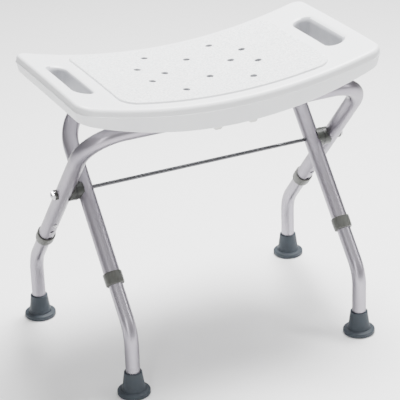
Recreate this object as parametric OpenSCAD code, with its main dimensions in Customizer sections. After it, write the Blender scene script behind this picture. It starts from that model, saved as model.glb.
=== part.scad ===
// Folding shower stool: a hollow dished seat on two crossing tube frames.
// X runs along the seat, Y from the front to the back, Z up. Millimetres.
// The origin is on the floor, under the middle of the stool.

/* [Seat] */
// Overall length of the seat, along X
seat_length = 500; // [480:1:620]
// Overall depth of the seat, from front to back
seat_width = 274; // [262:1:340]
// Thickness in the middle, from the top to the lower edge
seat_thickness = 43; // [38:0.5:54]
// Thickness at the two raised ends
end_thickness = 29; // [24:0.5:36]
// How much higher the ends stand than the middle
seat_dish = 36; // [20:1:50]
// Plan radius of the four corners
corner_radius = 26; // [14:1:40]
// Radius of the rounded top edge
edge_radius = 11; // [6:0.5:14]
// How far the top falls from the middle line to the long edges
seat_crown = 3; // [1:0.5:6]
// How far the moulding line stands out of the long sides
seam_out = 2; // [1:0.5:4]
// Wall of the hollow moulding
seat_wall = 3; // [2.4:0.1:4]
// Height of the middle of the top above the front bar's axis
top_above_bar = 31.5; // [29:0.5:40]

/* [Handle slots] */
// Length of each handle slot, along Y
slot_length = 132; // [90:1:150]
// Width of each handle slot, along X
slot_width = 32; // [24:1:38]
// Distance from the seat's end to the slot's middle
slot_inset = 42; // [38:1:60]

/* [Drain holes] */
// Diameter of the drain holes
drain_d = 11; // [7:0.5:13]
// Distance of the two long rows from the middle, along X
drain_row_x = 55.5; // [45:0.5:65]
// Distance of the corner holes from the middle line, along Y
drain_row_y = 77; // [65:0.5:80]
// Distance of the two middle holes from the middle, along Y
drain_mid_y = 41.5; // [30:0.5:50]
// Distance of the four outer holes from the middle, along X
drain_side_x = 88.5; // [80:0.5:110]
// Distance of the four outer holes from the middle line, along Y
drain_side_y = 28; // [20:0.5:40]

/* [Frames] */
// Outside diameter of the bent frame tubes
tube_d = 25.4; // [22:0.1:30]
// Wall of all the tubes
tube_wall = 1.2; // [1:0.1:1.5]
// Lean of each leg from the vertical, in degrees
leg_angle = 41; // [37:0.5:44]
// Height of the pivot rod above the floor
pivot_height = 279; // [250:1:340]
// Distance between the two legs of the outer frame
outer_span = 462; // [440:1:560]
// Distance from an outer leg to the inner leg beside it
leg_gap = 35; // [33:0.5:42]
// Distance from the pivot rod to the outer frame's top bar
outer_reach = 167.5; // [160:0.5:180]
// Distance from the pivot rod to the inner frame's top bar
inner_reach = 138; // [130:0.5:141]
// Bend radius of the outer frame, at the tube's middle
outer_bend = 60; // [50:1:75]
// Bend radius of the inner frame, at the tube's middle
inner_bend = 72; // [55:1:80]

/* [Lower legs] */
// Outside diameter of the telescoping lower tubes
lower_d = 22.2; // [19:0.1:22.4]
// Height of the bend where a leg turns upright
foot_bend_height = 104.5; // [85:0.5:125]
// Radius of that bend, at the tube's middle
foot_bend_radius = 60; // [45:1:80]
// Distance from the pivot rod to the first height hole
first_hole = 87; // [80:0.5:95]
// Distance between two height holes
hole_pitch = 22.7; // [20:0.1:24]
// Number of height holes in each leg
hole_count = 3; // [2:1:3]
// Diameter of the height holes
hole_d = 7; // [6:0.1:8]
// Length of lower tube above its button
tube_above_button = 24; // [18:1:30]

/* [Collars] */
// Thickness of the collar round the end of its tube
collar_wall = 2.1; // [1.5:0.1:4]
// Length of the collar
collar_length = 20; // [16:0.5:26]
// Clearance between a collar and the tube that slides in it, all round
slide_gap = 0.3; // [0.3:0.05:0.6]

/* [Feet] */
// Diameter of a foot where it stands
foot_d = 51; // [46:0.5:56]
// Diameter of the foot's neck at its top
foot_neck_d = 27.6; // [26:0.2:30]
// Height of the foot
foot_height = 38; // [32:0.5:50]
// Thickness of rubber and washer under the tube
foot_floor = 9; // [8:0.5:12]

/* [Pivot] */
// Diameter of the pivot rod
rod_d = 6.2; // [5:0.1:8]
// Radial running clearance on the rod
rod_fit = 0.05; // [0.02:0.01:0.1]
// Diameter of the saddle spacers between the legs
spacer_d = 28; // [26:0.5:34]
// How deep a saddle cups its tube
saddle_depth = 7; // [3:0.5:9]
// Thickness of the ring between two spacers
ring_thick = 1.2; // [0.8:0.1:2]
// Diameter of the saddle washers outside the legs
saddle_d = 16; // [14:0.5:20]
// Width across the flats of the end nuts
nut_flats = 11; // [10:0.5:13]

/* [Seat clips] */
// Distance of the hinge clamps from the middle, along X
clamp_x = 78; // [72:1:95]
// Width of a hinge clamp, along X
clamp_width = 20; // [14:1:26]
// Distance of the snap hooks from the middle, along X
hook_x = 29; // [20:1:60]
// Width of a snap hook, along X
hook_width = 15; // [10:1:24]
// Thickness of the clamps and hooks
clip_thick = 2.8; // [2:0.1:3.5]
// Clearance between a hook and its bar, all round
clip_gap = 0.3; // [0.3:0.05:0.6]
// How far a hook reaches below its bar's axis
hook_drop = 20; // [14:0.5:24]
// Diameter of the clip screws
screw_d = 4; // [3:0.1:5]

/* [Hidden] */
$fn = 96;

// Overshoot of cutters past the faces they cut
eps = 1;
LEFT = -1;
RIGHT = 1;

// Frames: the outer frame stands on the back feet, the inner one on the front feet
outer_x = outer_span / 2;
inner_x = outer_x - leg_gap;
tube_r = tube_d / 2;
lower_r = lower_d / 2;
front_bar_y = -outer_reach * sin(leg_angle);
front_bar_z = pivot_height + outer_reach * cos(leg_angle);
back_bar_y = inner_reach * sin(leg_angle);
back_bar_z = pivot_height + inner_reach * cos(leg_angle);

// Legs, measured down the leg from the pivot rod
last_hole = first_hole + (hole_count - 1) * hole_pitch;
collar_top = last_hole + hole_d / 2 + 1;
collar_lip = 3;
collar_d = tube_d + 2 * collar_wall;
tube_end = collar_top + collar_length - collar_lip;
corner_dist = (pivot_height - foot_bend_height) / cos(leg_angle);
bend_tangent = foot_bend_radius * tan(leg_angle / 2);
lower_top = first_hole - tube_above_button;
foot_y = corner_dist * sin(leg_angle);
washer_thick = 2;

// Bends: the swell of the wall, and how far a straight tube laps into it
bend_swell = 0.06;
bend_lap = 1;

// Seat: two arcs about axes along Y, one for the top and one for the lower edge
seat_z = front_bar_z + top_above_bar;
half_l = seat_length / 2;
half_w = seat_width / 2;
bottom_rise = seat_dish + seat_thickness - end_thickness;
top_r = half_l * half_l / (2 * seat_dish) + seat_dish / 2;
bottom_r = half_l * half_l / (2 * bottom_rise) + bottom_rise / 2;
seat_bottom_z = seat_z - seat_thickness;
sweep = 2 * asin(half_l / top_r) + 6;
seam_drop = edge_radius + seat_crown + 4;
slot_x = half_l - slot_inset;
side_draft = 4;
seam_step = 2;
vent_d = 5;

// Clips: the clamps close round the back bar, the hooks snap over the front bar
hook_r = tube_r + clip_gap;
hook_out_r = hook_r + clip_thick;
clamp_r = tube_r + rod_fit;
clamp_out_r = clamp_r + clip_thick;
pocket_r = hook_out_r + clip_gap;
// The front bar leaves its hooks downwards and this many degrees to the back
exit_angle = 20;
way_out = 0.2;
ledge = 0.5;
ear_length = 14;
clamp_ear_z = seat_bottom_z;
hook_ear_z = front_bar_z + hook_r * sin(exit_angle) + clip_thick;
hook_ear_y = front_bar_y + hook_out_r + ear_length / 2;
screw_head_d = 2 * screw_d;
screw_head_h = 0.6 * screw_d;
screw_length = 11;
clip_screws = concat(
    [for (s = [-1, 1], e = [-1, 1])
        [s * clamp_x, back_bar_y + e * (clamp_out_r + ear_length / 2), clamp_ear_z]],
    [for (s = [-1, 1]) [s * hook_x, hook_ear_y, hook_ear_z]]
);

// Spring buttons
button_d = hole_d - 0.4;
button_out = 2.2;
leaf_thick = 0.8;
leaf_width = 8;
lower_bore_r = lower_r - tube_wall;
button_back = 3.4 - lower_bore_r;

// Rod end: how far the saddle washer stands off the tube, and the nut's two heights
washer_out = 2.5;
nut_flange = 1.2;
nut_high = 2.6;
nut_dome = 2.5;
rod_half = outer_x + tube_r + washer_out + nut_flange + nut_high;
gap_middle = outer_x - leg_gap / 2;

// --- seat ---

// Right-hand half of the seat's section across Y, as [distance from the sweep's axis, y]
function half_section(inset) = let(
    crown_y = half_w - seam_out - edge_radius,
    r = edge_radius - inset,
    side = half_w - seam_out - inset,
    seam = top_r + seam_drop
) concat(
    [for (i = [0 : 3]) [top_r + inset + seat_crown * pow(i / 4, 2), crown_y * i / 4]],
    [
        for (t = [0 : 15 : 90])
            [top_r + seat_crown + edge_radius - r * cos(t), crown_y + r * sin(t)]
    ],
    [[seam - seam_step, side], [seam, side + seam_out], [seam + seam_step, side + seam_out / 2]],
    [[top_r + seat_thickness + seat_dish, side - side_draft]]
);

// The section carried along the dished top, about an axis high above the seat
module dished_sweep(inset) {
    right = half_section(inset);
    left = [for (i = [len(right) - 1 : -1 : 1]) [right[i][0], -right[i][1]]];
    translate([0, 0, seat_z + top_r])
        rotate([90, 0, 0])
            rotate([0, 0, -90 - sweep / 2])
                rotate_extrude(angle = sweep)
                    polygon(concat(right, left));
}

// Side view of the seat: the bowed lower edge and the rounded ends
module side_view(inset) {
    r = edge_radius - inset;
    end_z = seat_z + seat_dish;
    rotate([90, 0, 0])
        linear_extrude(height = 2 * seat_width, center = true)
            intersection() {
                translate([0, seat_bottom_z + inset + bottom_r])
                    circle(bottom_r);
                union() {
                    square([seat_length - 2 * edge_radius, 4 * seat_z], center = true);
                    translate([-half_l - eps, 0])
                        square([seat_length + 2 * eps, end_z - edge_radius]);
                    for (s = [-1, 1])
                        translate([s * (half_l - edge_radius + ledge), end_z - edge_radius])
                            circle(r);
                }
            }
}

module rounded_rectangle(l, w, r) {
    square([l, w - 2 * r], center = true);
    square([l - 2 * r, w], center = true);
    for (sx = [-1, 1], sy = [-1, 1])
        translate([sx * (l / 2 - r), sy * (w / 2 - r)])
            circle(r);
}

module seat_body(inset) {
    intersection() {
        dished_sweep(inset);
        side_view(inset);
        translate([0, 0, seat_bottom_z - eps])
            linear_extrude(height = 2 * (seat_thickness + seat_dish))
                rounded_rectangle(seat_length - 2 * inset, seat_width + eps, corner_radius - inset);
    }
}

module plan_slots(grow) {
    w = slot_width + 2 * grow;
    l = slot_length + 2 * grow;
    for (s = [-1, 1])
        translate([s * slot_x, 0]) {
            square([w, l - w], center = true);
            for (e = [-1, 1])
                translate([0, e * (l - w) / 2])
                    circle(w / 2);
        }
}

module plan_drains(grow) {
    r = drain_d / 2 + grow;
    for (s = [-1, 1]) {
        translate([0, s * drain_mid_y])
            circle(r);
        translate([s * drain_row_x, 0])
            circle(r);
        for (e = [-1, 1]) {
            translate([s * drain_row_x, e * drain_row_y])
                circle(r);
            translate([s * drain_side_x, e * drain_side_y])
                circle(r);
        }
    }
}

module through_seat() {
    translate([0, 0, seat_bottom_z - eps])
        linear_extrude(height = seat_thickness + seat_dish + 2 * eps)
            children();
}

// Room under the seat for the front bar and its way out, and for the back bar
module bar_channels(grow) {
    r = pocket_r + grow;
    wide = 2 * (r + ledge);
    for (bar = [[front_bar_y, front_bar_z], [back_bar_y, back_bar_z]])
        translate([0, bar[0], bar[1]])
            rotate([0, 90, 0])
                cylinder(r = r, h = seat_length + eps, center = true);
    translate([0, front_bar_y, front_bar_z]) {
        translate([0, 0, -seat_thickness])
            cube([seat_length + eps, wide, 2 * seat_thickness], center = true);
        rotate([exit_angle, 0, 0])
            translate([0, 0, -seat_thickness])
                cube([seat_length + eps, wide, 2 * seat_thickness], center = true);
    }
}

// Recesses over the hooks' ears
module ear_recesses(grow) {
    w = hook_width + 2 * clip_gap + 2 * grow;
    for (s = [-1, 1])
        translate([s * hook_x - w / 2, front_bar_y, seat_bottom_z - 2 * eps])
            cube([w, hook_out_r + ear_length + clip_gap + grow, hook_ear_z - seat_bottom_z + 2 * eps + grow]);
}

// Flat pads that the hinge clamps are screwed to
module clamp_pads() {
    pad_y = clamp_out_r + ear_length / 2;
    for (s = [-1, 1], e = [-1, 1])
        translate([s * clamp_x, back_bar_y + e * pad_y, seat_bottom_z + seat_wall + eps])
            cube([clamp_width, ear_length - 2, 2 * (seat_wall + eps)], center = true);
}

module seat_shell() {
    color("white")
        difference() {
            union() {
                seat_body(0);
                clamp_pads();
            }
            // the hollow inside, kept off every slot, drain, channel and screw
            difference() {
                seat_body(seat_wall);
                through_seat() {
                    plan_slots(seat_wall);
                    plan_drains(seat_wall);
                }
                bar_channels(seat_wall);
                ear_recesses(seat_wall);
                for (p = clip_screws)
                    translate([p[0], p[1], seat_bottom_z])
                        cylinder(
                            r = screw_d / 2 + seat_wall,
                            h = p[2] - seat_bottom_z + screw_length + seat_wall
                        );
            }
            through_seat() {
                plan_slots(0);
                plan_drains(0);
            }
            bar_channels(0);
            ear_recesses(0);
            // the moulding's vent, and the screw holes
            translate([0, 0, seat_bottom_z - eps])
                cylinder(d = vent_d, h = 2 * seat_wall);
            for (p = clip_screws)
                translate([p[0], p[1], p[2] - eps])
                    cylinder(d = screw_d, h = screw_length + eps);
        }
}

// --- clips under the seat ---

// A clip's side view, [y, z] from its bar's axis, carried along X
module clip_strip(width, bar_y, bar_z) {
    translate([0, bar_y, bar_z])
        rotate([90, 0, 90])
            linear_extrude(height = width, center = true)
                children();
}

// Strap under the back bar, which turns in it, with an ear on each side
module hinge_clamp(side) {
    up = clamp_ear_z - back_bar_z;
    color("ivory")
        translate([side * clamp_x, 0, 0])
            difference() {
                clip_strip(clamp_width, back_bar_y, back_bar_z)
                    difference() {
                        union() {
                            circle(clamp_out_r);
                            translate([-clamp_out_r, 0])
                                square([2 * clamp_out_r, up]);
                            translate([-clamp_out_r - ear_length, up - clip_thick])
                                square([2 * (clamp_out_r + ear_length), clip_thick]);
                        }
                        circle(clamp_r);
                        translate([-clamp_r, 0])
                            square([2 * clamp_r, 2 * clamp_r]);
                        translate([-2 * clamp_out_r, up])
                            square([4 * clamp_out_r, 2 * clamp_out_r]);
                    }
                for (e = [-1, 1])
                    translate([0, back_bar_y + e * (clamp_out_r + ear_length / 2), clamp_ear_z - 2 * clip_thick])
                        cylinder(d = screw_d, h = 3 * clip_thick);
            }
}

// Hook over the front bar: open below, with a bead that holds the bar and a long front arm
module snap_hook(side) {
    ear_up = hook_ear_z - front_bar_z;
    tip_r = hook_width / 3;
    color("ivory")
        translate([side * hook_x, 0, 0])
            difference() {
                clip_strip(hook_width, front_bar_y, front_bar_z)
                    difference() {
                        union() {
                            circle(hook_out_r);
                            translate([-hook_out_r, -hook_drop])
                                square([clip_thick, hook_drop]);
                            translate([0, ear_up - clip_thick])
                                square([hook_out_r + ear_length, clip_thick]);
                        }
                        circle(hook_r);
                        rotate(exit_angle)
                            translate([-hook_r - way_out, -2 * hook_r])
                                square([2 * hook_r + way_out, 2 * hook_r]);
                        translate([0, -hook_r])
                            square([2 * hook_r, ear_up - clip_thick + hook_r]);
                    }
                translate([0, hook_ear_y, hook_ear_z - 2 * clip_thick])
                    cylinder(d = screw_d, h = 3 * clip_thick);
                // the arm's rounded corners
                for (e = [-1, 1])
                    translate([e * hook_width / 2, front_bar_y - hook_r, front_bar_z - hook_drop])
                        rotate([90, 0, 0])
                            difference() {
                                cube([2 * tip_r, 2 * tip_r, 4 * clip_thick], center = true);
                                translate([-e * tip_r, tip_r, 0])
                                    cylinder(r = tip_r, h = 5 * clip_thick, center = true);
                            }
            }
}

module screw(place) {
    grip = clip_thick + screw_length - eps;
    color("silver")
        translate([place[0], place[1], place[2] - clip_thick - screw_head_h]) {
            cylinder(d = screw_head_d, h = screw_head_h);
            cylinder(d = screw_d, h = screw_head_h + grip);
        }
}

module hinge_clamp_screws() {
    for (i = [0 : 3])
        screw(clip_screws[i]);
}

module snap_hook_screws() {
    for (i = [4 : 5])
        screw(clip_screws[i]);
}

// --- frames ---

// Puts the outer frame's own plane, with Z up the leg, in its place
module outer_plane() {
    translate([0, 0, pivot_height])
        rotate([leg_angle, 0, 0])
            children();
}

// The inner frame is the outer one's mirror image, front to back
module plane_of(back) {
    if (back)
        outer_plane() children();
    else
        mirror([0, 1, 0])
            outer_plane() children();
}

// A tube's section; a bend's wall is a hair thicker, so that the straight ends lap into it
module tube_section(d, swell) {
    difference() {
        circle(d = d + 2 * swell);
        circle(d = d - 2 * tube_wall - 2 * swell);
    }
}

// Straight tube, lapped into a bend at the ends that have one
module straight_tube(d, from_z, to_z, lap_from, lap_to) {
    translate([0, 0, from_z - lap_from])
        linear_extrude(height = to_z - from_z + lap_from + lap_to)
            tube_section(d, 0);
}

// Bend in the XZ plane, from +X towards +Z
module tube_bend(d, radius, angle) {
    rotate([90, 0, 0])
        rotate_extrude(angle = angle)
            translate([radius, 0])
                tube_section(d, bend_swell);
}

module frame_tube(half, reach, bend) {
    difference() {
        union() {
            for (s = [-1, 1]) {
                translate([s * half, 0, 0])
                    straight_tube(tube_d, -tube_end, reach - bend, 0, bend_lap);
                scale([s, 1, 1])
                    translate([half - bend, 0, reach - bend])
                        tube_bend(tube_d, bend, 90);
            }
            translate([0, 0, reach])
                rotate([0, 90, 0])
                    straight_tube(tube_d, -half + bend, half - bend, bend_lap, bend_lap);
        }
        // the rod's holes and the height holes
        for (s = [-1, 1])
            translate([s * half, 0, 0]) {
                rotate([0, 90, 0])
                    cylinder(r = rod_d / 2 + rod_fit, h = 2 * tube_d, center = true);
                for (i = [0 : hole_count - 1])
                    translate([0, 0, -first_hole - i * hole_pitch])
                        rotate([90, 0, 0])
                            cylinder(d = hole_d, h = tube_d);
            }
    }
}

module outer_frame_tube() {
    color("lightgray")
        plane_of(true)
            frame_tube(outer_x, outer_reach, outer_bend);
}

module inner_frame_tube() {
    color("lightgray")
        plane_of(false)
            frame_tube(inner_x, inner_reach, inner_bend);
}

// --- telescoping legs ---

function leg_x(back) = back ? outer_x : inner_x;

// Down the leg, round the bend and straight down into the foot
module lower_path() {
    straight = corner_dist - bend_tangent;
    upright = foot_bend_height - bend_tangent - foot_floor;
    straight_tube(lower_d, -straight, -lower_top, bend_lap, 0);
    translate([0, -foot_bend_radius, -straight]) {
        rotate([0, 0, 90])
            mirror([0, 0, 1])
                tube_bend(lower_d, foot_bend_radius, leg_angle);
        rotate([-leg_angle, 0, 0])
            translate([0, foot_bend_radius, 0])
                straight_tube(lower_d, -upright, 0, 0, bend_lap);
    }
}

module lower_leg(side, back) {
    color("gainsboro")
        translate([side * leg_x(back), 0, 0])
            plane_of(back)
                difference() {
                    lower_path();
                    translate([0, 0, -first_hole])
                        rotate([90, 0, 0])
                            cylinder(d = hole_d, h = lower_d);
                }
}

module collar(side, back) {
    bevel = 1.2;
    r = collar_d / 2;
    lip_r = lower_r + slide_gap;
    color("dimgray")
        translate([side * leg_x(back), 0, 0])
            plane_of(back)
                translate([0, 0, -collar_top])
                    rotate([180, 0, 0])
                        rotate_extrude()
                            polygon([
                                [tube_r, 0], [r - bevel, 0], [r, bevel],
                                [r, collar_length - 2 * bevel], [r - 2 * bevel, collar_length],
                                [lip_r, collar_length], [lip_r, collar_length - collar_lip],
                                [tube_r, collar_length - collar_lip]
                            ]);
}

// Rubber foot: a round pad with a conical socket for the leg, standing on a ring under its rim
module foot(side, back) {
    sole_r = foot_d / 2;
    neck_r = foot_neck_d / 2;
    cone_r = neck_r + 3.7;
    hollow = 1.2;
    ring_in = 5;
    edge = 1.5;
    pad_top = 8;
    cone_bottom = 11;
    socket_floor = foot_floor - washer_thick;
    color("slategray")
        translate([side * leg_x(back), (back ? 1 : -1) * foot_y, 0])
            rotate_extrude()
                polygon([
                    [0, hollow], [sole_r - ring_in - edge, hollow], [sole_r - ring_in, 0],
                    [sole_r - edge, 0], [sole_r, edge], [sole_r, pad_top - 2 * edge],
                    [sole_r - edge, pad_top - edge], [cone_r + 2 * edge, pad_top],
                    [cone_r + edge, cone_bottom], [cone_r, cone_bottom + edge],
                    [neck_r, foot_height - edge], [neck_r - edge, foot_height],
                    [lower_r, foot_height], [lower_r, socket_floor], [0, socket_floor]
                ]);
}

module foot_washer(side, back) {
    color("silver")
        translate([side * leg_x(back), (back ? 1 : -1) * foot_y, foot_floor - washer_thick])
            difference() {
                cylinder(r = lower_r, h = washer_thick);
                translate([0, 0, -eps])
                    cylinder(r = 4, h = washer_thick + 2 * eps);
            }
}

// Domed button with a flange inside the tube, standing out through both walls
module button(side, back) {
    r = button_d / 2;
    flange = 1;
    dome = 1.5;
    color("silver")
        translate([side * leg_x(back), 0, 0])
            plane_of(back)
                translate([0, 0, -first_hole])
                    rotate([90, 0, 0])
                        rotate_extrude()
                            polygon(concat(
                                [[0, -button_back], [r + flange, -button_back]],
                                [[r + flange, flange - button_back], [r, flange - button_back]],
                                [
                                    for (t = [0 : 15 : 90])
                                        [r * cos(t), tube_r + button_out - dome + dome * sin(t)]
                                ]
                            ));
}

// Folded strip in the tube: one leaf behind the button, the other along the far wall
module leaf_spring(side, back) {
    front = button_back + 0.05;
    far = sqrt(pow(lower_bore_r, 2) - pow(leaf_width / 2, 2)) - 0.05;
    fold_r = (far - front) / 2 - leaf_thick;
    fold_z = -lower_top - 2 - fold_r - leaf_thick;
    leaf_end = -first_hole - leaf_width;
    color("darkgray")
        translate([side * leg_x(back), 0, 0])
            plane_of(back)
                rotate([90, 0, 90])
                    linear_extrude(height = leaf_width, center = true) {
                        translate([front, leaf_end])
                            square([leaf_thick, fold_z - leaf_end]);
                        translate([far - leaf_thick, leaf_end])
                            square([leaf_thick, fold_z - leaf_end]);
                        translate([(front + far) / 2, fold_z])
                            difference() {
                                circle(fold_r + leaf_thick);
                                circle(fold_r);
                                translate([-2 * fold_r, -4 * fold_r])
                                    square(4 * fold_r);
                            }
                    }
}

// --- the crossing ---

module rod_bore(h) {
    rotate([0, 90, 0])
        cylinder(r = rod_d / 2 + rod_fit, h = h, center = true);
}

module pivot_rod() {
    color("silver")
        translate([-rod_half, 0, pivot_height])
            rotate([0, 90, 0])
                cylinder(d = rod_d, h = 2 * rod_half);
}

// Flanged nut with a hexagon and a low closed dome
module end_nut(side) {
    base_r = nut_flats / 2 - 0.3;
    dome_r = (base_r * base_r + nut_dome * nut_dome) / (2 * nut_dome);
    high = nut_flange + nut_high;
    color("silver")
        translate([side * (outer_x + tube_r + washer_out), 0, pivot_height])
            rotate([0, side * 90, 0])
                difference() {
                    union() {
                        cylinder(d = nut_flats + 3.5, h = nut_flange);
                        cylinder(d = nut_flats / cos(30), h = high, $fn = 6);
                        translate([0, 0, high])
                            intersection() {
                                translate([0, 0, nut_dome - dome_r])
                                    sphere(dome_r);
                                cylinder(r = nut_flats, h = nut_flats);
                            }
                    }
                    translate([0, 0, -eps])
                        cylinder(d = rod_d, h = high + eps);
                }
}

// A disc with a saddle cut for a tube that leans with its own frame
module saddle(back, from_x, to_x, d) {
    translate([0, 0, pivot_height])
        difference() {
            translate([min(from_x, to_x), 0, 0])
                rotate([0, 90, 0])
                    cylinder(d = d, h = abs(to_x - from_x));
            translate([(from_x + to_x) / 2, 0, 0])
                rod_bore(3 * tube_d);
            translate([(from_x < 0 ? -1 : 1) * leg_x(back), 0, 0])
                rotate([back ? leg_angle : -leg_angle, 0, 0])
                    cylinder(r = tube_r, h = 3 * d, center = true);
        }
}

module saddle_washer(side) {
    // how deep a tube's side reaches into a disc of this size
    cup = saddle_d * saddle_d / (8 * tube_r);
    color("dimgray")
        saddle(
            true, side * (outer_x + tube_r + washer_out), side * (outer_x + tube_r - cup), saddle_d
        );
}

module outer_spacer(side) {
    color("dimgray")
        saddle(
            true, side * (gap_middle + ring_thick / 2),
            side * (outer_x - tube_r + saddle_depth), spacer_d
        );
}

module inner_spacer(side) {
    color("dimgray")
        saddle(
            false, side * (gap_middle - ring_thick / 2),
            side * (inner_x + tube_r - saddle_depth), spacer_d
        );
}

module ring(side) {
    play = 0.1;
    color("black")
        translate([side * gap_middle, 0, pivot_height])
            rotate([0, 90, 0])
                difference() {
                    cylinder(d = spacer_d + 1, h = ring_thick - 2 * play, center = true);
                    cylinder(r = rod_d / 2 + rod_fit, h = 2 * ring_thick, center = true);
                }
}

seat_shell();
outer_frame_tube();
inner_frame_tube();
pivot_rod();
end_nut(LEFT);  // end_nut_left
end_nut(RIGHT);  // end_nut_right
saddle_washer(LEFT);  // saddle_washer_left
saddle_washer(RIGHT);  // saddle_washer_right
outer_spacer(LEFT);  // outer_spacer_left
outer_spacer(RIGHT);  // outer_spacer_right
inner_spacer(LEFT);  // inner_spacer_left
inner_spacer(RIGHT);  // inner_spacer_right
ring(LEFT);  // ring_left
ring(RIGHT);  // ring_right
hinge_clamp(LEFT);  // hinge_clamp_left
hinge_clamp(RIGHT);  // hinge_clamp_right
hinge_clamp_screws();
snap_hook(LEFT);  // snap_hook_left
snap_hook(RIGHT);  // snap_hook_right
snap_hook_screws();
collar(LEFT, true);  // collar_back_left
collar(RIGHT, true);  // collar_back_right
collar(LEFT, false);  // collar_front_left
collar(RIGHT, false);  // collar_front_right
lower_leg(LEFT, true);  // lower_leg_back_left
lower_leg(RIGHT, true);  // lower_leg_back_right
lower_leg(LEFT, false);  // lower_leg_front_left
lower_leg(RIGHT, false);  // lower_leg_front_right
foot(LEFT, true);  // foot_back_left
foot(RIGHT, true);  // foot_back_right
foot(LEFT, false);  // foot_front_left
foot(RIGHT, false);  // foot_front_right
foot_washer(LEFT, true);  // foot_washer_back_left
foot_washer(RIGHT, true);  // foot_washer_back_right
foot_washer(LEFT, false);  // foot_washer_front_left
foot_washer(RIGHT, false);  // foot_washer_front_right
button(LEFT, true);  // button_back_left
button(RIGHT, true);  // button_back_right
button(LEFT, false);  // button_front_left
button(RIGHT, false);  // button_front_right
leaf_spring(LEFT, true);  // leaf_spring_back_left
leaf_spring(RIGHT, true);  // leaf_spring_back_right
leaf_spring(LEFT, false);  // leaf_spring_front_left
leaf_spring(RIGHT, false);  // leaf_spring_front_right
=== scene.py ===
# %% [markdown]
# # A folding shower stool
# The stool is a hollow dished seat, blow-moulded in white plastic, on two bent tube frames that
# cross at a steel rod. The CAD model gives every place and size, and it folds. This lesson gives
# the stool its looks: it remodels the pieces whose finish is in their shape, such as the seat,
# the rubber feet and the collars, and it builds a procedural material for every surface.

# %% Load the frame
import math
import bpy
from mathutils import Vector, Matrix


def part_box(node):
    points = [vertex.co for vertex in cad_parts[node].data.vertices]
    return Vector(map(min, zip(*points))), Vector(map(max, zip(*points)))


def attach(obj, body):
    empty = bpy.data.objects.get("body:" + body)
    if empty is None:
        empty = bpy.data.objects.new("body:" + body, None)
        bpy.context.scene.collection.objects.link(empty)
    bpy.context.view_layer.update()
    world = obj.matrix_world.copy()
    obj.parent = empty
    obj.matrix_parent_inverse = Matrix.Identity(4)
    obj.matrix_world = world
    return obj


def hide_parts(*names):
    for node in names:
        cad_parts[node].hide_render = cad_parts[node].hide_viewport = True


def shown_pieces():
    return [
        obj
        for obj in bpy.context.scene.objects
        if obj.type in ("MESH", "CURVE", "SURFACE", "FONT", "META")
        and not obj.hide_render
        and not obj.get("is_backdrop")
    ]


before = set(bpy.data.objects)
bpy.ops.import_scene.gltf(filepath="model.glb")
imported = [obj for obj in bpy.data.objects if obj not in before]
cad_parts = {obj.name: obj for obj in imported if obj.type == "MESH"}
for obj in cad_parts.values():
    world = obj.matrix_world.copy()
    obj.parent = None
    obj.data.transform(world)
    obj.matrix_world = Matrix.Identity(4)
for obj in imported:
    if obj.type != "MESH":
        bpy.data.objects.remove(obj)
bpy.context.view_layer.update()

MM = 0.001

# %% [markdown]
# ## The camera
# It stands in front of the stool, to its left, and looks down on it. A long lens far away keeps
# the perspective mild. The camera turns about a point above the middle of the floor.

# %% Camera
AZIMUTH, ELEVATION, ROLL = (math.radians(a) for a in (-24.8, 24.7, -2.1))
DISTANCE = 2.7554
SIDEWAYS, UPWARDS = -0.0041, -0.0048
TARGET = Vector((0, 0, 0.22))
LENS, SENSOR_WIDTH = 157.66, 36

level_back = Vector((math.sin(AZIMUTH), -math.cos(AZIMUTH), 0))
back = level_back * math.cos(ELEVATION) + Vector((0, 0, math.sin(ELEVATION)))
right = Vector((math.cos(AZIMUTH), math.sin(AZIMUTH), 0))
up = back.cross(right)
tilted_right = right * math.cos(ROLL) + up * math.sin(ROLL)
tilted_up = up * math.cos(ROLL) - right * math.sin(ROLL)

camera_data = bpy.data.cameras.new("camera")
camera_data.lens = LENS
camera_data.sensor_width = SENSOR_WIDTH
camera = bpy.data.objects.new("camera", camera_data)
bpy.context.scene.collection.objects.link(camera)
place = TARGET + back * DISTANCE + tilted_right * SIDEWAYS + tilted_up * UPWARDS
turn = Matrix((tilted_right, tilted_up, back)).transposed().to_4x4()
camera.matrix_world = Matrix.Translation(place) @ turn
bpy.context.scene.camera = camera
print("camera at", [round(v, 3) for v in place])

# %% [markdown]
# ## The studio
# The floor is plain and pale. The world is white overhead and fades to grey at the horizon, so
# that the seat's top is brighter than its sides and the tubes have darker edges. One large lamp
# hangs overhead, and a narrow one stands at each side: their long reflections are what draw the
# bright lines down the tubes.

# %% Floor and lights
LOOK_AT = Vector((0, 0, 0.25))
FLOOR_SIZE, FLOOR_Z = 30, -0.5 * MM
SKY_FADE = {"From Min": -0.15, "From Max": 0.75, "To Min": 0.18, "To Max": 1.0}


def deselect():
    bpy.ops.object.select_all(action="DESELECT")


def add_area_lamp(name, location, size_x, size_y, watts):
    """Adds a large soft lamp that looks at the middle of the stool."""
    deselect()
    bpy.ops.object.light_add(type="AREA", location=location)
    lamp = bpy.context.object
    lamp.name = name
    lamp.data.shape = "RECTANGLE"
    lamp.data.size, lamp.data.size_y = size_x, size_y
    lamp.data.energy = watts
    lamp.rotation_euler = (LOOK_AT - Vector(location)).to_track_quat("-Z", "Y").to_euler()
    return lamp


deselect()
bpy.ops.mesh.primitive_plane_add(size=FLOOR_SIZE, location=(0, 0, FLOOR_Z))
floor = bpy.context.object
floor.name = "floor"
floor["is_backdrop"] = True

add_area_lamp("lamp_top", (0.45, 0.3, 2.1), 0.9, 0.8, 170)
add_area_lamp("lamp_left", (-1.7, -1.9, 1.0), 0.3, 1.6, 15)
add_area_lamp("lamp_right", (2.0, -1.2, 1.2), 0.3, 1.4, 12)

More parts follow.
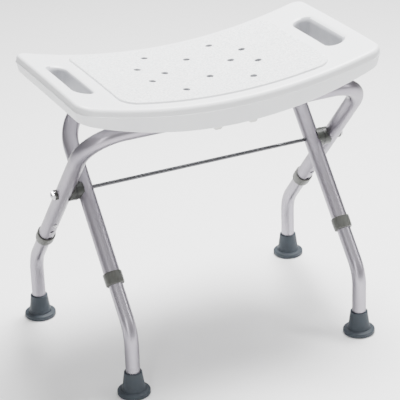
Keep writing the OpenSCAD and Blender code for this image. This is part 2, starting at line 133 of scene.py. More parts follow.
world = bpy.data.worlds.new("studio")
bpy.context.scene.world = world
world.use_nodes = True
sky = world.node_tree
sky_way = sky.nodes.new("ShaderNodeTexCoord")
sky_parts = sky.nodes.new("ShaderNodeSeparateXYZ")
sky_fade = sky.nodes.new("ShaderNodeMapRange")
for label, number in SKY_FADE.items():
    sky_fade.inputs[label].default_value = number
sky.links.new(sky_way.outputs["Generated"], sky_parts.inputs["Vector"])
sky.links.new(sky_parts.outputs["Z"], sky_fade.inputs["Value"])
sky.links.new(sky_fade.outputs["Result"], sky.nodes["Background"].inputs["Strength"])
sky.nodes["Background"].inputs["Color"].default_value = (1, 1, 1, 1)

# %% [markdown]
# ## Working by steps
# Every moulded piece here is shaped in the same way, as one would by hand: a primitive is added,
# one of its flat faces is picked, and that face is inset and pushed out again and again. Each
# step is a pair: how far the outline moves in, and how far the face rises. A run of such steps
# round a quarter circle makes a rounded edge.

# %% Helpers for modelling
def add_block(name, low, high):
    """A cube stretched between two corners, in metres."""
    deselect()
    size = [h - l for l, h in zip(low, high)]
    middle = [(l + h) / 2 for l, h in zip(low, high)]
    bpy.ops.mesh.primitive_cube_add(size=1, location=middle)
    block = bpy.context.object
    block.name = name
    block.scale = size
    bpy.ops.object.transform_apply(location=True, rotation=False, scale=True)
    return block


def pick(piece, kind, chosen):
    """Enters edit mode with only those faces or edges selected that chosen() is true for."""
    bpy.context.view_layer.objects.active = piece
    piece.select_set(True)
    bpy.ops.object.mode_set(mode="EDIT")
    bpy.ops.mesh.select_mode(type=kind)
    bpy.ops.mesh.select_all(action="DESELECT")
    bpy.ops.object.mode_set(mode="OBJECT")
    items = piece.data.polygons if kind == "FACE" else piece.data.edges
    for item in items:
        item.select = chosen(item)
    bpy.ops.object.mode_set(mode="EDIT")


def done():
    bpy.ops.object.mode_set(mode="OBJECT")


TOP, BOTTOM = 1, -1


def step_face(piece, side, steps):
    """Insets and pushes out the flat top or bottom face, once for each (inset, rise)."""
    level = max(v.co.z * side for v in piece.data.vertices)

    def is_end(face):
        return face.normal.z * side > 0.99 and abs(face.center.z * side - level) < 0.01 * MM
    pick(piece, "FACE", is_end)
    for inward, rise in steps:
        if inward:
            bpy.ops.mesh.inset(thickness=inward, depth=rise, use_even_offset=True)
        else:
            bpy.ops.mesh.extrude_region_move(TRANSFORM_OT_translate={"value": (0, 0, side * rise)})
    done()


def quarter_round(radius, pieces=5, hollow=False):
    """The steps of a rounded edge: steep and then flat, or the other way for a hollow one."""
    angles = [math.pi / 2 * i / pieces for i in range(pieces + 1)]
    rounded = [(radius * (math.cos(a) - math.cos(b)), radius * (math.sin(b) - math.sin(a)))
               for a, b in zip(angles, angles[1:])]
    if hollow:
        return [(inward, rise) for inward, rise in reversed(rounded)]
    return rounded


def round_corners(piece, radius, pieces=8):
    """Bevels the upright edges of a block."""
    def upright(edge):
        a, b = (piece.data.vertices[i].co for i in edge.vertices)
        return abs(a.z - b.z) > 1e-5 and (a - b).xy.length < 1e-6
    pick(piece, "EDGE", upright)
    bpy.ops.mesh.bevel(offset=radius, segments=pieces, affect="EDGES")
    bpy.ops.mesh.select_all(action="SELECT")
    bpy.ops.mesh.remove_doubles(threshold=0.1 * MM)
    done()


def combine(piece, other, operation):
    """Joins the other solid to the piece, or cuts it out, and throws the other away."""
    bpy.context.view_layer.objects.active = piece
    change = piece.modifiers.new("boolean", "BOOLEAN")
    change.operation = operation
    change.solver = "EXACT"
    change.object = other
    bpy.ops.object.modifier_apply(modifier=change.name)
    bpy.data.objects.remove(other)


def finish_piece(piece, body, slot_name, *replaced, angle=35):
    """Smooth shading, a body to ride on, and the CAD nodes it stands for; slot_name is not used."""
    deselect()
    bpy.context.view_layer.objects.active = piece
    piece.select_set(True)
    bpy.ops.object.shade_smooth_by_angle(angle=math.radians(angle))
    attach(piece, body)
    if replaced:
        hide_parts(*replaced)
    print(piece.name, "faces:", len(piece.data.polygons))
    return piece


print("helpers ready")

# %% [markdown]
# ## The seat, flat
# The seat is one blow-moulded shell. It is easiest to model while it is still flat: every wall is
# upright, and insets stay true. The widest outline is the moulding seam, so the work starts with
# a thin slab there and goes up to the rounded rim, and down to the lower edge.

# %% The flat seat
_, seat_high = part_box("seat_shell")
HALF_LENGTH, HALF_WIDTH = seat_high.x, seat_high.y
THICK = 43 * MM
SEAM_DEPTH = 12.4 * MM
RIM_ROUND = 7.5 * MM
CORNER = 23 * MM
PANEL_X, PANEL_Y, PANEL_RISE = 172 * MM, 115 * MM, 3.2 * MM

SEAM_THICK = 1.2 * MM
SEAM_BOTTOM = -SEAM_DEPTH - SEAM_THICK
LOWER_EDGE_ROUND = 2.5 * MM

seat = add_block("seat", (-HALF_LENGTH, -HALF_WIDTH, SEAM_BOTTOM),
                 (HALF_LENGTH, HALF_WIDTH, -SEAM_DEPTH))
round_corners(seat, CORNER, 10)
rim_side = [(0.5 * MM, 0.4 * MM), (0.6 * MM, 0.9 * MM)]
rim_side.append((0.5 * MM, SEAM_DEPTH - RIM_ROUND - sum(rise for _, rise in rim_side)))
step_face(seat, TOP, rim_side + quarter_round(RIM_ROUND, 7))
lower_side = [(0.7 * MM, 0.5 * MM), (1.2 * MM, 8 * MM)]
lower_side.append((2 * MM, THICK + SEAM_BOTTOM - LOWER_EDGE_ROUND - sum(rise for _, rise in lower_side)))
step_face(seat, BOTTOM, lower_side + quarter_round(LOWER_EDGE_ROUND, 4))
print("flat seat:", [round(v / MM, 1) for v in seat.dimensions])

# %% [markdown]
# The sitting panel stands a little proud of the rim, with a sloping border that catches a line of
# shade. It is a rounded block of its own, which a Boolean modifier joins to the seat.

# %% The sitting panel
PANEL_CORNER, PANEL_ROOT, PANEL_FOOT = 24 * MM, 4 * MM, 0.2 * MM
panel = add_block("panel", (-PANEL_X, -PANEL_Y, -PANEL_ROOT), (PANEL_X, PANEL_Y, PANEL_FOOT))
round_corners(panel, PANEL_CORNER)
soft_edge = [(0.4 * MM, 0.3 * MM), (0.6 * MM, 0.2 * MM)]
wall_rise = PANEL_RISE - PANEL_FOOT - sum(rise for _, rise in soft_edge)
step_face(panel, TOP, [(0.9 * MM, wall_rise)] + soft_edge)
combine(seat, panel, "UNION")
print("panel joined:", len(seat.data.polygons), "faces")

# %% [markdown]
# The hand slots and the drain holes are cut with flared plugs. A plug starts as a block whose
# upright edges are rounded until it is a stadium or a circle. Its lower face then steps inwards
# along a quarter circle, which leaves the soft lip, and runs straight down through the seat.

# %% Slots and drain holes
def flared_plug(x, y, half_x, half_y, lip, level, pieces):
    """A plug whose lip begins a hair above the level it cuts, so that no two faces coincide."""
    level += CLEAR
    plug = add_block("plug", (x - half_x - lip, y - half_y - lip, level),
                     (x + half_x + lip, y + half_y + lip, level + PLUG_HEAD))
    round_corners(plug, (min(half_x, half_y) + lip) * ALMOST_ALL, pieces)
    step_face(plug, BOTTOM, quarter_round(lip, 6, hollow=True) + [(0, PLUG_LENGTH)])
    return plug


CLEAR, ALMOST_ALL = 0.02 * MM, 0.999
PLUG_HEAD, PLUG_LENGTH = 6 * MM, 70 * MM
SLOT_X, SLOT_HALF_WIDE, SLOT_HALF_LONG, SLOT_LIP = 208.5 * MM, 13.5 * MM, 62.5 * MM, 8.5 * MM
for side in (-1, 1):
    plug = flared_plug(side * SLOT_X, 0, SLOT_HALF_WIDE, SLOT_HALF_LONG, SLOT_LIP, 0, 14)
    combine(seat, plug, "DIFFERENCE")

DRAIN_R, DRAIN_LIP = 5.3 * MM, 1.3 * MM
drains = [(0, s * 41.5) for s in (-1, 1)] + [(s * 55.5, 0) for s in (-1, 1)]
drains += [(s * x, e * y) for x, y in ((55.5, 77), (88.5, 28)) for s in (-1, 1) for e in (-1, 1)]
for x, y in drains:
    plug = flared_plug(x * MM, y * MM, DRAIN_R, DRAIN_R, DRAIN_LIP, PANEL_RISE, 7)
    combine(seat, plug, "DIFFERENCE")
print("drain holes:", len(drains))

# %% [markdown]
# ## Dishing the seat
# A flat face can't bend, so the seat is first cut into narrow strips across its length, and wider
# ones along it. Then each point is lifted by the dish, which is part of a large circle, and lowered a
# little towards the long edges. The lower edge follows a tighter circle, so the seat is thick in
# the middle and slim at its ends.

# %% Strips, then the dish
def slice_mesh(piece, normal, places):
    for place_at in places:
        bpy.ops.mesh.select_all(action="SELECT")
        bpy.ops.mesh.bisect(plane_co=Vector(normal) * place_at, plane_no=normal, use_fill=False)


STRIPS_X, STRIPS_Y = 84, 10
pick(seat, "FACE", lambda face: True)
slice_mesh(seat, (1, 0, 0), [HALF_LENGTH * (2 * i / STRIPS_X - 1) for i in range(1, STRIPS_X)])
slice_mesh(seat, (0, 1, 0), [HALF_WIDTH * (2 * i / STRIPS_Y - 1) for i in range(1, STRIPS_Y)])
done()

SEAT_TOP = 437 * MM - PANEL_RISE
TOP_RISE, END_THICK, CROWN = 36 * MM, 29 * MM, 1.6 * MM
BOTTOM_RISE = TOP_RISE + THICK - END_THICK


def arc_rise(x, rise):
    """Height above its middle of a circle's arc that rises so far at the seat's ends."""
    radius = HALF_LENGTH ** 2 / (2 * rise) + rise / 2
    return radius - math.sqrt(radius ** 2 - x ** 2)


for vertex in seat.data.vertices:
    x, y, z = vertex.co
    top = SEAT_TOP + arc_rise(x, TOP_RISE)
    thick_here = THICK - arc_rise(x, BOTTOM_RISE) + arc_rise(x, TOP_RISE)
    share = max(0, SEAM_BOTTOM - z) / (THICK + SEAM_BOTTOM)
    z -= share * (thick_here - THICK)
    crown = CROWN * (y / HALF_WIDTH) ** 2 * (1 - share)
    vertex.co.z = top - crown + z
seat.data.update()
print("dished seat:", len(seat.data.polygons), "faces; size", [round(v / MM) for v in seat.dimensions])

# %% [markdown]
# ## Room for the bars
# Under the seat run two grooves. The front bar rests high up in its groove and leaves it downwards
# and to the back when the stool is folded, so that groove is open below. The back bar only touches
# the lower face. Cylinders along the bars and blocks below them are cut out after dishing, because
# the bars are straight.

# %% Grooves and screw pads
FRONT_BAR = Vector((0, -109.89 * MM, 405.42 * MM))
BACK_BAR = Vector((0, 90.54 * MM, 383.15 * MM))
GROOVE_R, EXIT_ANGLE = 16.1 * MM, math.radians(20)
PAST_ENDS = 1.1 * HALF_LENGTH
LEDGE, CLIP_GAP = 0.5 * MM, 0.3 * MM
PAD_IN, PAD_HALF = 7 * MM, 6 * MM


def bar_cutter(bar):
    deselect()
    bpy.ops.mesh.primitive_cylinder_add(
        vertices=64, radius=GROOVE_R, depth=2 * PAST_ENDS, location=bar, rotation=(0, math.pi / 2, 0))
    cutter = bpy.context.object
    bpy.ops.object.transform_apply(location=True, rotation=True, scale=True)
    return cutter


combine(seat, bar_cutter(FRONT_BAR), "DIFFERENCE")
combine(seat, bar_cutter(BACK_BAR), "DIFFERENCE")
for lean in (0, EXIT_ANGLE):
    way_out = add_block("way_out", (-PAST_ENDS, -GROOVE_R - LEDGE, -2 * THICK),
                        (PAST_ENDS, GROOVE_R + LEDGE, 0))
    way_out.matrix_world = Matrix.Translation(FRONT_BAR) @ Matrix.Rotation(lean, 4, "X")
    bpy.context.view_layer.objects.active = way_out
    bpy.ops.object.transform_apply(location=True, rotation=True, scale=True)
    combine(seat, way_out, "DIFFERENCE")

for hand in ("left", "right"):
    low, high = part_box(f"snap_hook_{hand}")
    ear = add_block("ear", (low.x - CLIP_GAP, FRONT_BAR.y, FRONT_BAR.z - THICK),
                    (high.x + CLIP_GAP, high.y + CLIP_GAP, high.z + CLEAR))
    combine(seat, ear, "DIFFERENCE")
    low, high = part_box(f"hinge_clamp_{hand}")
    for y in (low.y + PAD_IN, high.y - PAD_IN):
        pad = add_block("pad", (low.x, y - PAD_HALF, high.z), (high.x, y + PAD_HALF, high.z + PAD_HALF))
        combine(seat, pad, "UNION")
finish_piece(seat, "seat", "seat_plastic", "seat_shell", angle=32)

# %% [markdown]
# ## Bent tubes
# A bent tube starts as a ring. The ring is extruded along each straight run and spun round each
# bend, as a tube bender does it, and Solidify gives the wall. The ring's place and heading are
# carried along, so each bend's centre follows from them.

# %% Bent tubes
def bent_tube(name, radius, wall, start, runs, sides=64):
    """runs is a list of (direction, length, radius of the bend that follows, or None)."""
    deselect()
    heading = runs[0][0]
    turn = heading.to_track_quat("Z", "Y").to_euler()
    bpy.ops.mesh.primitive_circle_add(vertices=sides, radius=radius, location=start, rotation=turn)
    tube = bpy.context.object
    tube.name = name
    bpy.ops.object.transform_apply(location=True, rotation=True, scale=True)
    bpy.ops.object.mode_set(mode="EDIT")
    bpy.ops.mesh.select_mode(type="EDGE")
    bpy.ops.mesh.select_all(action="SELECT")
    at = start.copy()
    for i, (heading, length, bend) in enumerate(runs):
        bpy.ops.mesh.extrude_region_move(TRANSFORM_OT_translate={"value": heading * length})
        at += heading * length
        if bend:
            axis = heading.cross(runs[i + 1][0]).normalized()
            angle = heading.angle(runs[i + 1][0])
            centre = at + bend * axis.cross(heading)
            bpy.ops.mesh.spin(steps=round(angle / BEND_STEP), angle=-angle, center=centre, axis=axis)
            at = centre + Matrix.Rotation(angle, 3, axis) @ (at - centre)
    bpy.ops.mesh.select_all(action="SELECT")
    bpy.ops.mesh.remove_doubles(threshold=0.01 * MM)
    bpy.ops.mesh.normals_make_consistent(inside=False)
    done()
    shell = tube.modifiers.new("wall", "SOLIDIFY")
    shell.thickness, shell.offset = wall, -1
    bpy.ops.object.modifier_apply(modifier=shell.name)
    return tube


def drill(tube, radius, at, direction, length):
    """Cuts a round hole that starts at a point and runs one way."""
    deselect()
    bpy.ops.mesh.primitive_cylinder_add(
        vertices=32, radius=radius, depth=length, location=at + direction * length / 2,
        rotation=direction.to_track_quat("Z", "Y").to_euler())
    bit = bpy.context.object
    bpy.ops.object.transform_apply(location=True, rotation=True, scale=True)
    combine(tube, bit, "DIFFERENCE")


TUBE_R, TUBE_WALL, LEG_ANGLE = 12.7 * MM, 1.2 * MM, math.radians(41)
PIVOT = Vector((0, 0, 279 * MM))
FIRST_HOLE, HOLE_PITCH, HOLE_COUNT, HOLE_R = 87 * MM, 22.7 * MM, 3, 3.5 * MM
TUBE_END = 153.9 * MM
ROD_HOLE_R, DRILL_LENGTH = 3.2 * MM, 20 * MM
BEND_STEP = math.radians(3)
X = Vector((1, 0, 0))


def down_the_leg(foot_side):
    """The way down a leg: foot_side is 1 for the back feet and -1 for the front ones."""
    return Vector((0, foot_side * math.sin(LEG_ANGLE), -math.cos(LEG_ANGLE)))


def out_of_the_leg(foot_side):
    """The way a button points: square to its leg, on the leg's lower side."""
    return Vector((0, -foot_side * math.cos(LEG_ANGLE), -math.sin(LEG_ANGLE)))


def frame_tube(name, foot_side, half, reach, bend, body):
    down = down_the_leg(foot_side)
    low_end = PIVOT - X * half + down * TUBE_END
    up_run = TUBE_END + reach - bend
    tube = bent_tube(name, TUBE_R, TUBE_WALL, low_end,
                     [(-down, up_run, bend), (X, 2 * (half - bend), bend), (down, up_run, None)])
    out = out_of_the_leg(foot_side)
    for side in (-1, 1):
        middle = PIVOT + X * side * half
        drill(tube, ROD_HOLE_R, middle - X * DRILL_LENGTH, X, 2 * DRILL_LENGTH)
        for i in range(HOLE_COUNT):
            drill(tube, HOLE_R, middle + down * (FIRST_HOLE + i * HOLE_PITCH), out, DRILL_LENGTH)
    return finish_piece(tube, body, "frame_tube", name.replace("_look", ""))


OUTER_X, INNER_X = 231 * MM, 196 * MM
BACK, FRONT = 1, -1
frame_tube("outer_frame_tube_look", BACK, OUTER_X, reach=167.5 * MM, bend=60 * MM, body="outer_frame")
frame_tube("inner_frame_tube_look", FRONT, INNER_X, reach=138 * MM, bend=72 * MM, body="inner_frame")

# %% [markdown]
# ## The telescoping legs
# Each lower tube runs down inside its upper one, turns upright in one bend and stands in its
# rubber foot. One function makes all four from their side and their frame.

# %% Lower legs
LOWER_R, LOWER_TOP = 11.1 * MM, 63 * MM
FOOT_BEND_Z, FOOT_BEND_R = 104.5 * MM, 60 * MM
FOOT_FLOOR = 9 * MM
corner_distance = (PIVOT.z - FOOT_BEND_Z) / math.cos(LEG_ANGLE)
bend_tangent = FOOT_BEND_R * math.tan(LEG_ANGLE / 2)
FOOT_Y = corner_distance * math.sin(LEG_ANGLE)
LEGS = [(f"{where}_{hand}", foot_side, side * half)
        for where, foot_side, half in (("back", BACK, OUTER_X), ("front", FRONT, INNER_X))
        for hand, side in (("left", -1), ("right", 1))]


def lower_leg(leg, foot_side, x):
    down = down_the_leg(foot_side)
    top = PIVOT + X * x + down * LOWER_TOP
    tube = bent_tube(f"lower_leg_{leg}_look", LOWER_R, TUBE_WALL, top,
                     [(down, corner_distance - bend_tangent - LOWER_TOP, FOOT_BEND_R),
                      (Vector((0, 0, -1)), FOOT_BEND_Z - bend_tangent - FOOT_FLOOR, None)], sides=56)
    out = out_of_the_leg(foot_side)
    drill(tube, HOLE_R, PIVOT + X * x + down * FIRST_HOLE, out, DRILL_LENGTH)
    return finish_piece(tube, f"{leg}_leg", "lower_tube", f"lower_leg_{leg}")


for leg in LEGS:
    lower_leg(*leg)

# %% [markdown]
# ## Round mouldings
# The rubber feet and the plastic collars are round, so each is an outline spun about its axis. A
# plane merged to one point gives the first vertex, which is extruded from point to point of the
# outline, and Spin takes it all the way round. Small arcs in the outline are the soft edges.

# %% Spun mouldings
def arc(middle_r, middle_z, radius, from_angle, to_angle, pieces=6):
    """Points on an arc of an outline; angles in degrees, 0 outwards and 90 upwards."""
    step = (to_angle - from_angle) / pieces
    angles = [math.radians(from_angle + step * i) for i in range(pieces + 1)]
    return [(middle_r + radius * math.cos(a), middle_z + radius * math.sin(a)) for a in angles]


def spun(name, outline, closed, sides=72):
    """Turns an outline of (radius, height), in millimetres, round the Z axis."""
    points = [Vector((radius, 0, height)) * MM for radius, height in outline]
    deselect()
    bpy.ops.mesh.primitive_plane_add(size=MM)
    piece = bpy.context.object
    piece.name = name
    bpy.ops.object.mode_set(mode="EDIT")
    bpy.ops.mesh.select_mode(type="VERT")
    bpy.ops.mesh.select_all(action="SELECT")
    bpy.ops.mesh.merge(type="CENTER")
    bpy.ops.transform.translate(value=points[0])
    for a, b in zip(points, points[1:] + points[:1] if closed else points[1:]):
        bpy.ops.mesh.extrude_region_move(TRANSFORM_OT_translate={"value": b - a})
    bpy.ops.mesh.select_all(action="SELECT")
    bpy.ops.mesh.spin(steps=sides, angle=2 * math.pi, center=(0, 0, 0), axis=(0, 0, 1))
    bpy.ops.mesh.select_all(action="SELECT")
    bpy.ops.mesh.remove_doubles(threshold=0.02 * MM)
    bpy.ops.mesh.normals_make_consistent(inside=False)
    done()
    return piece


def copy_to(piece, name, matrix):
    """A copy with its own mesh, its place put into the mesh."""
    twin = piece.copy()
    twin.data = piece.data.copy()
    twin.name = name
    bpy.context.scene.collection.objects.link(twin)
    deselect()
    twin.matrix_world = matrix
    twin.select_set(True)
    bpy.context.view_layer.objects.active = twin
    bpy.ops.object.transform_apply(location=True, rotation=True, scale=True)
    return twin


SOLE_R, NECK_R, CONE_R, FOOT_HEIGHT = 25.4, 13.8, 17.5, 38
HOLLOW_R, HOLLOW_DEEP, RING_R, FLOOR_GAP = 19.2, 1.2, 20.4, 0.05
SOLE_ROUND, PAD_ROUND, PAD_SIDE_TOP = 1.6, 2.2, 5.0
SOCKET_R, SOCKET_FLOOR = 11.15, 7

# Under the sole: a hollow with a ring round it, and the sole's soft edge.
foot_outline = [(0, HOLLOW_DEEP), (HOLLOW_R, HOLLOW_DEEP), (RING_R, FLOOR_GAP)]
foot_outline += [(SOLE_R - SOLE_ROUND, FLOOR_GAP)]
foot_outline += arc(SOLE_R - SOLE_ROUND, SOLE_ROUND, SOLE_ROUND - FLOOR_GAP, -80, 0, 4)
# The pad's top edge, the fillet at the foot of the cone, and the cone up to the neck.
foot_outline += arc(SOLE_R - PAD_ROUND, PAD_SIDE_TOP, PAD_ROUND, 0, 80, 6)
foot_outline += [(CONE_R + 3.4, 7.9)] + arc(CONE_R + 2.1, 9.3, 1.4, 260, 180, 3)[1:]
foot_outline += arc(CONE_R - 0.5, 10.6, 1.2, 10, 60, 3)
foot_outline += [(CONE_R - 0.4, 12.4), (NECK_R + 0.15, FOOT_HEIGHT - 2.2)]
# The neck's rounded lip and the socket that the leg stands in.
foot_outline += arc(NECK_R - 1.3, FOOT_HEIGHT - 1.5, 1.4, 10, 90, 5)
foot_outline += [(SOCKET_R, FOOT_HEIGHT - 0.6), (SOCKET_R, SOCKET_FLOOR), (0, SOCKET_FLOOR)]
foot_first = spun("foot_first", foot_outline, closed=False)

COLLAR_R, COLLAR_LONG, COLLAR_TOP, COLLAR_LIP = 14.8, 20, 136.9, 3
SLEEVE_R, LIP_R, COLLAR_ROUND = 12.75, 11.5, 1.2

# Down the outside: the rounded top, a shallow groove, and the nose that turns in to the lower tube.
collar_outline = [(SLEEVE_R, 0)]
collar_outline += arc(COLLAR_R - COLLAR_ROUND, -COLLAR_ROUND, COLLAR_ROUND, 90, 0, 4)
collar_outline += [(COLLAR_R, -13.6)] + arc(COLLAR_R + 0.25, -14.4, 0.35, 140, 220, 3)
collar_outline += [(COLLAR_R, -15.2), (COLLAR_R - 0.3, -17.4)]
collar_outline += arc(COLLAR_R - 2.2, -17.9, 2.0, 0, -85, 5)
collar_outline += [(LIP_R, -COLLAR_LONG), (LIP_R, -COLLAR_LONG + COLLAR_LIP)]
collar_outline += [(SLEEVE_R, -COLLAR_LONG + COLLAR_LIP)]
collar_first = spun("collar_first", collar_outline, closed=True)

for leg, foot_side, x in LEGS:
    foot = copy_to(foot_first, f"foot_{leg}_look", Matrix.Translation((x, foot_side * FOOT_Y, 0)))
    finish_piece(foot, f"{leg}_leg", "foot_rubber", f"foot_{leg}")
    place = PIVOT + X * x + down_the_leg(foot_side) * COLLAR_TOP * MM
    turn = Matrix.Rotation(foot_side * LEG_ANGLE, 4, "X")
    collar = copy_to(collar_first, f"collar_{leg}_look", Matrix.Translation(place) @ turn)
    body = "outer_frame" if foot_side > 0 else "inner_frame"
    finish_piece(collar, body, "collar_plastic", f"collar_{leg}")
bpy.data.objects.remove(foot_first)
bpy.data.objects.remove(collar_first)

# %% [markdown]
# ## Shared effects
# Three small node groups give all the finishes their life. "grain" is the fine orange peel of
# moulded plastic, as a height for a Bump node. "clouds" is a slow, uneven mask that tints and
# dulls a surface a little. "draw_lines" is the very fine streaking that a drawn tube has along its
# length. They put out values only, and each material gives them its own scales.

# %% Node groups
def new_group(name, inputs, outputs):
    group = bpy.data.node_groups.new(name, "ShaderNodeTree")
    for label, default in inputs.items():
        socket = group.interface.new_socket(label, in_out="INPUT", socket_type="NodeSocketFloat")
        socket.default_value = default
    for label in outputs:
        group.interface.new_socket(label, in_out="OUTPUT", socket_type="NodeSocketFloat")
    start = group.nodes.new("NodeGroupInput")
    end = group.nodes.new("NodeGroupOutput")
    place = group.nodes.new("ShaderNodeTexCoord")
    return group, start, end, place


def add_noise(group, vector, scale, detail, roughness=0.5):
    noise = group.nodes.new("ShaderNodeTexNoise")
    noise.inputs["Detail"].default_value = detail
    noise.inputs["Roughness"].default_value = roughness
    group.links.new(vector, noise.inputs["Vector"])
    if isinstance(scale, (int, float)):
        noise.inputs["Scale"].default_value = scale
    else:
        group.links.new(scale, noise.inputs["Scale"])
    return noise.outputs["Fac"]


def map_range(group, value, from_low, from_high, to_low=0.0, to_high=1.0):
    node = group.nodes.new("ShaderNodeMapRange")
    limits = {"From Min": from_low, "From Max": from_high, "To Min": to_low, "To Max": to_high}
    for label, number in limits.items():
        node.inputs[label].default_value = number
    group.links.new(value, node.inputs["Value"])
    return node.outputs["Result"]


def add_math(group, operation, a, b):
    node = group.nodes.new("ShaderNodeMath")
    node.operation = operation
    for socket, value in zip(node.inputs, (a, b)):
        if isinstance(value, (int, float)):
            socket.default_value = value
        else:
            group.links.new(value, socket)
    return node.outputs["Value"]


grain, start, end, place = new_group("grain", {"Scale": 900.0}, ["Height"])
coarse = add_noise(grain, place.outputs["Object"], start.outputs["Scale"], 2.0)
doubled = add_math(grain, "MULTIPLY", start.outputs["Scale"], 2.7)
fine = add_noise(grain, place.outputs["Object"], doubled, 1.0)
half = add_math(grain, "MULTIPLY", fine, 0.4)
grain.links.new(add_math(grain, "ADD", coarse, half), end.inputs["Height"])

clouds, start, end, place = new_group("clouds", {"Scale": 18.0}, ["Mask"])
slow = add_noise(clouds, place.outputs["Object"], start.outputs["Scale"], 4.0, 0.6)
clouds.links.new(map_range(clouds, slow, 0.35, 0.68), end.inputs["Mask"])


def stretched_noise(group, place, stretch):
    """Noise drawn out along one way of the object, for the lines of a drawn tube."""
    mapping = group.nodes.new("ShaderNodeMapping")
    mapping.inputs["Scale"].default_value = stretch
    group.links.new(place.outputs["Object"], mapping.inputs["Vector"])
    return add_noise(group, mapping.outputs["Vector"], 1.0, 3.0)


draw_lines, start, end, place = new_group("draw_lines", {"Strength": 1.0}, ["Value"])
lines_up = stretched_noise(draw_lines, place, (1500, 1500, 25))
lines_across = stretched_noise(draw_lines, place, (25, 1500, 1500))
both = add_math(draw_lines, "MULTIPLY", add_math(draw_lines, "ADD", lines_up, lines_across), 0.5)
scaled = add_math(draw_lines, "MULTIPLY", both, start.outputs["Strength"])
draw_lines.links.new(scaled, end.inputs["Value"])
print("groups:", [g.name for g in bpy.data.node_groups])

# %% [markdown]
# ## Finishes
# One function builds a finish: the clouds mask mixes two near tones and two roughnesses, and the
# grain feeds a Bump node. What differs between white plastic, satin tube, chrome and rubber is in
# the values, so they sit together in a table, with lengths in metres.

# %% The finish builder
def srgb(red, green, blue):
    """A screen colour, 0 to 255, as the linear colour that Blender's nodes use."""
    linear = [(c / 255 / 12.92) if c / 255 <= 0.04045 else ((c / 255 + 0.055) / 1.055) ** 2.4
              for c in (red, green, blue)]
    return (*linear, 1.0)


def group_node(tree, group, **values):
    node = tree.nodes.new("ShaderNodeGroup")
    node.node_tree = group
    for label, value in values.items():
        node.inputs[label].default_value = value
    return node


def mix_colour(tree, mask, first, second):
    mix = tree.nodes.new("ShaderNodeMix")
    mix.data_type = "RGBA"
    for socket, tone in ((mix.inputs[6], first), (mix.inputs[7], second)):
        if isinstance(tone, tuple):
            socket.default_value = tone
        else:
            tree.links.new(tone, socket)
    tree.links.new(mask, mix.inputs[0])
    return mix.outputs[2]


def make_finish(name, tones, rough, metal=0.0, cloud_scale=18.0, grain_scale=900.0, bump=0.15,
                height=0.00008, lines=0.0, painted_edge_shade=None, specular=0.5):
    material = bpy.data.materials.new(name)
    material.use_nodes = True
    tree = material.node_tree
    shader = tree.nodes["Principled BSDF"]
    mask = group_node(tree, clouds, Scale=cloud_scale).outputs["Mask"]
    colour = mix_colour(tree, mask, *tones)
    # Painted shade: a facing mask darkens the colour towards the grazing edges, where the tubes and the
    # rod show dark reflections.
    if painted_edge_shade:
        facing = tree.nodes.new("ShaderNodeLayerWeight")
        facing.inputs["Blend"].default_value = 0.35
        colour = mix_colour(tree, facing.outputs["Facing"], colour, painted_edge_shade)
    tree.links.new(colour, shader.inputs["Base Color"])
    roughness = map_range(tree, mask, 0.0, 1.0, *rough)
    surface = group_node(tree, grain, Scale=grain_scale).outputs["Height"]
    if lines:
        streaks = group_node(tree, draw_lines, Strength=lines).outputs["Value"]
        roughness = add_math(tree, "ADD", roughness, add_math(tree, "SUBTRACT", streaks, lines / 2))
        surface = add_math(tree, "ADD", surface, streaks)
    tree.links.new(roughness, shader.inputs["Roughness"])
    bump_node = tree.nodes.new("ShaderNodeBump")
    bump_node.inputs["Strength"].default_value = bump
    bump_node.inputs["Distance"].default_value = height
    tree.links.new(surface, bump_node.inputs["Height"])
    tree.links.new(bump_node.outputs["Normal"], shader.inputs["Normal"])
    shader.inputs["Metallic"].default_value = metal
    shader.inputs["Specular IOR Level"].default_value = specular
    return material
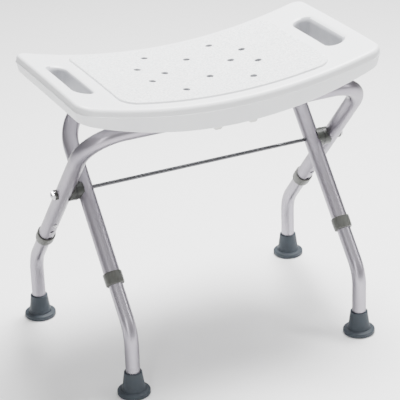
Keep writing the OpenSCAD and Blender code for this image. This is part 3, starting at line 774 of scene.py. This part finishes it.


# The dark tone painted at the tubes' grazing edges, as painted shade.
TUBE_PAINTED_EDGE_SHADE = srgb(70, 66, 75)
finishes = {
    "seat_plastic": make_finish("seat_plastic", (srgb(229, 230, 231), srgb(224, 225, 227)), (0.36, 0.46),
                                cloud_scale=9, grain_scale=1500, bump=0.12),
    # Painted shade: the panel's strong light and dark mottle, at the size of the pebbles, paints in the
    # shading of the pebble grain; the grain in the bump is real.
    "seat_grain": make_finish("seat_grain", (srgb(248, 249, 249), srgb(196, 199, 201)), (0.4, 0.62),
                              cloud_scale=330, grain_scale=420, bump=1.0, height=0.0015),
    # Painted shade: the inner walls of the slots and drain holes are the seat's white plastic, given a
    # darker grey for the shade in these recesses, and a matt roughness.
    "recess_painted_shade": make_finish("recess_painted_shade", (srgb(176, 177, 181), srgb(164, 165, 170)), (0.5, 0.6),
                             cloud_scale=30, grain_scale=1500, bump=0.12),
    "clip_plastic": make_finish("clip_plastic", (srgb(226, 226, 220), srgb(218, 218, 211)), (0.42, 0.5),
                                grain_scale=1400, bump=0.2),
    "frame_tube": make_finish("frame_tube", (srgb(164, 159, 167), srgb(153, 149, 158)), (0.3, 0.38),
                              metal=0.9, cloud_scale=12, grain_scale=2600, bump=0.1, lines=0.12,
                              painted_edge_shade=TUBE_PAINTED_EDGE_SHADE),
    "lower_tube": make_finish("lower_tube", (srgb(170, 166, 174), srgb(160, 156, 165)), (0.27, 0.35),
                              metal=0.9, cloud_scale=14, grain_scale=2600, bump=0.1, lines=0.12,
                              painted_edge_shade=TUBE_PAINTED_EDGE_SHADE),
    "bright_metal": make_finish("bright_metal", (srgb(190, 190, 191), srgb(176, 176, 178)), (0.1, 0.18),
                                metal=1.0, cloud_scale=60, grain_scale=3000, bump=0.06),
    # Painted reflection: the rod is bright metal; its darker tones and near-black edge paint in the dark
    # reflection that runs along it.
    "rod_painted_reflection_metal": make_finish("rod_painted_reflection_metal", (srgb(104, 104, 107), srgb(90, 90, 93)), (0.12, 0.2),
                             metal=1.0, cloud_scale=60, grain_scale=3000, bump=0.06,
                             painted_edge_shade=srgb(20, 20, 21)),
    "spring_steel": make_finish("spring_steel", (srgb(150, 148, 145), srgb(128, 126, 124)), (0.28, 0.42),
                                metal=1.0, cloud_scale=80, grain_scale=3000, bump=0.1),
    "collar_plastic": make_finish("collar_plastic", (srgb(74, 75, 71), srgb(66, 67, 63)), (0.4, 0.5),
                                  cloud_scale=60, grain_scale=1800, bump=0.3),
    "dark_plastic": make_finish("dark_plastic", (srgb(48, 50, 46), srgb(40, 42, 39)), (0.36, 0.48),
                                cloud_scale=60, grain_scale=1800, bump=0.3),
    "black_plastic": make_finish("black_plastic", (srgb(22, 22, 23), srgb(30, 30, 31)), (0.35, 0.5),
                                 cloud_scale=60, grain_scale=1800, bump=0.25),
    "foot_rubber": make_finish("foot_rubber", (srgb(42, 49, 56), srgb(50, 57, 64)), (0.5, 0.68),
                               cloud_scale=45, grain_scale=1500, bump=0.5, height=0.00012, specular=0.4),
}
print("finishes:", sorted(finishes))

# %% [markdown]
# ## Dressing the pieces
# The pieces made here take their finish by the first word of their name, and so do the CAD nodes
# that are still shown. A CAD node keeps its mesh, and only its material slots change.

# %% Give every piece its finish
FINISH_OF = {
    "seat": "seat_plastic", "hinge_clamp": "clip_plastic", "snap_hook": "clip_plastic",
    "outer_frame_tube": "frame_tube", "inner_frame_tube": "frame_tube", "lower_leg": "lower_tube",
    "pivot_rod": "rod_painted_reflection_metal", "end_nut": "bright_metal", "button": "bright_metal",
    "foot_washer": "bright_metal", "leaf_spring": "spring_steel", "collar": "collar_plastic",
    "saddle_washer": "dark_plastic", "outer_spacer": "dark_plastic", "inner_spacer": "dark_plastic",
    "ring": "black_plastic", "foot": "foot_rubber",
}


def finish_for(name):
    if "screws" in name:
        return finishes["bright_metal"]
    starts = [start for start in FINISH_OF if name.startswith(start)]
    return finishes[FINISH_OF[max(starts, key=len)]]


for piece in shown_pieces():
    piece.data.materials.clear()
    piece.data.materials.append(finish_for(piece.name))

FLOOR_TONES = (srgb(250, 250, 250), srgb(248, 248, 248))
floor.data.materials.append(make_finish("floor_white", FLOOR_TONES, (0.6, 0.7), bump=0.0))

# %% [markdown]
# The seat has two finishes. Only the sitting panel is grained, so its faces get a second material slot;
# they are found by their place, inside the panel's border and level with its top. The inner walls of the
# slots and drain holes are matt and take a third, darker one, which is painted shade in these recesses.

# %% Grain on the panel, painted shade in the slots and holes
GRAINED, RECESS_PAINTED_SHADE = 1, 2
LEVEL_GAP, SLOT_MARGIN, DRAIN_MARGIN = 0.5 * MM, 3 * MM, 0.6 * MM
SLOT_DEPTH, DRAIN_DEPTH = 30 * MM, 40 * MM


def panel_top(x, y):
    """The height of the panel's grained top over a place on the seat."""
    return SEAT_TOP + arc_rise(x, TOP_RISE) - CROWN * (y / HALF_WIDTH) ** 2 + PANEL_RISE


def in_slot(x, y):
    return (abs(abs(x) - SLOT_X) < SLOT_HALF_WIDE + SLOT_MARGIN
            and abs(y) < SLOT_HALF_LONG + SLOT_MARGIN)


def in_drain(x, y):
    return any(math.hypot(x - a * MM, y - b * MM) < DRAIN_R + DRAIN_MARGIN for a, b in drains)


# The panel's material carries the real grain in its bump and painted shade in its colour.
seat.data.materials.append(finishes["seat_grain"])
seat.data.materials.append(finishes["recess_painted_shade"])
for face in seat.data.polygons:
    x, y, z = face.center
    facing_up = face.normal.z
    depth = panel_top(x, y) - z
    if abs(x) < PANEL_X and abs(y) < PANEL_Y and facing_up > 0.8 and abs(depth) < LEVEL_GAP:
        face.material_index = GRAINED
    # Painted shade: faces inside the slots and drain holes get the darker material.
    if in_slot(x, y) and facing_up < 0.75 and depth < SLOT_DEPTH:
        face.material_index = RECESS_PAINTED_SHADE
    if in_drain(x, y) and facing_up < 0.6 and depth < DRAIN_DEPTH:
        face.material_index = RECESS_PAINTED_SHADE
print("grained faces:", sum(face.material_index == GRAINED for face in seat.data.polygons),
      "slot faces:", sum(face.material_index == RECESS_PAINTED_SHADE for face in seat.data.polygons))
